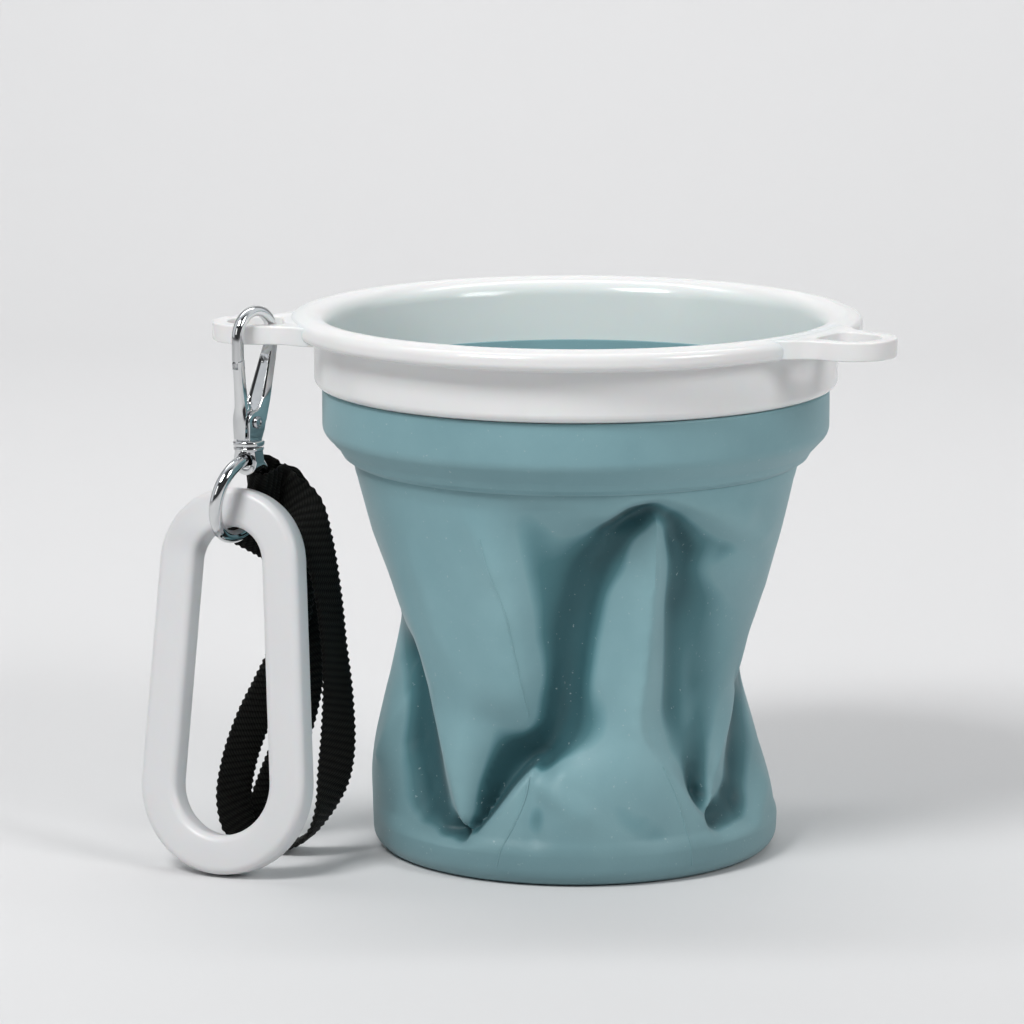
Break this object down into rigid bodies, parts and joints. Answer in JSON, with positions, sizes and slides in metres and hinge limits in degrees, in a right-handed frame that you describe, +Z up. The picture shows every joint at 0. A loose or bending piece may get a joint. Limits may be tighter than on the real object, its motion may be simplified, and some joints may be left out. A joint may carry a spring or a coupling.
{
  "type": "collapsible bowl",
  "caption": "Collapsible silicone bowl with a rigid rim and lifting ears, crumpled half-collapsed, with a swivel snap hook, ring, carry link and webbing strap hung from an ear.",
  "frame": {"origin": "centre of the base's underside, on the bowl's axis", "axes": "+Z up along the bowl's axis, the picture's viewer on -Y, +X to the right, so the hook and strap hang at -X"},
  "size_m": [0.194, 0.15, 0.1463],
  "materials": {
    "rim_plastic": "satin white moulded plastic",
    "link_plastic": "satin white moulded plastic",
    "silicone": "matt teal silicone",
    "chrome": "bright nickel chrome plate",
    "steel": "bright steel wire and pin",
    "webbing": "black woven ribbed webbing"
  },
  "bodies": {
    "rim": {"rim": "rim_plastic"},
    "base": {"silicone_body": "silicone"},
    "hook": {"hook_body": "chrome", "gate_rivet": "steel"},
    "gate": {"hook_gate": "chrome", "gate_spring": "steel"},
    "swivel": {"swivel_eye": "chrome"},
    "ring": {"ring": "chrome", "strap_webbing": "webbing"},
    "link": {"carry_link": "link_plastic"}
  },
  "joints": [
    {"name": "base_collapse", "type": "slide", "parent": "rim", "child": "base", "axis": [0, 0, 1], "range_m": [0, 0.07], "deforming": ["silicone_body"]},
    {"name": "hook_swing", "type": "hinge", "parent": "rim", "child": "hook", "pos_m": [-0.08285, -0.02039, 0.1386], "axis": [-0.9914, -0.1305, 0], "range_deg": [-40, 80]},
    {"name": "gate_open", "type": "hinge", "parent": "hook", "child": "gate", "pos_m": [-0.08445, -0.02244, 0.1163], "axis": [-0.788, 0.6157, 0], "range_deg": [0, 20], "stiffness_Nm_per_rad": 0.02, "springref_deg": -11.46},
    {"name": "swivel_turn", "type": "hinge", "parent": "hook", "child": "swivel", "pos_m": [-0.08451, -0.02252, 0.11], "axis": [0, 0, 1], "continuous": true},
    {"name": "ring_swing", "type": "hinge", "parent": "swivel", "child": "ring", "pos_m": [-0.08451, -0.02252, 0.10635], "axis": [0.521, 0.845, -0.1204], "range_deg": [-8, 35]},
    {"name": "link_swing", "type": "hinge", "parent": "ring", "child": "link", "pos_m": [-0.08921, -0.02252, 0.08599], "axis": [-0.521, -0.845, 0.1204], "range_deg": [-10, 4]}
  ]
}
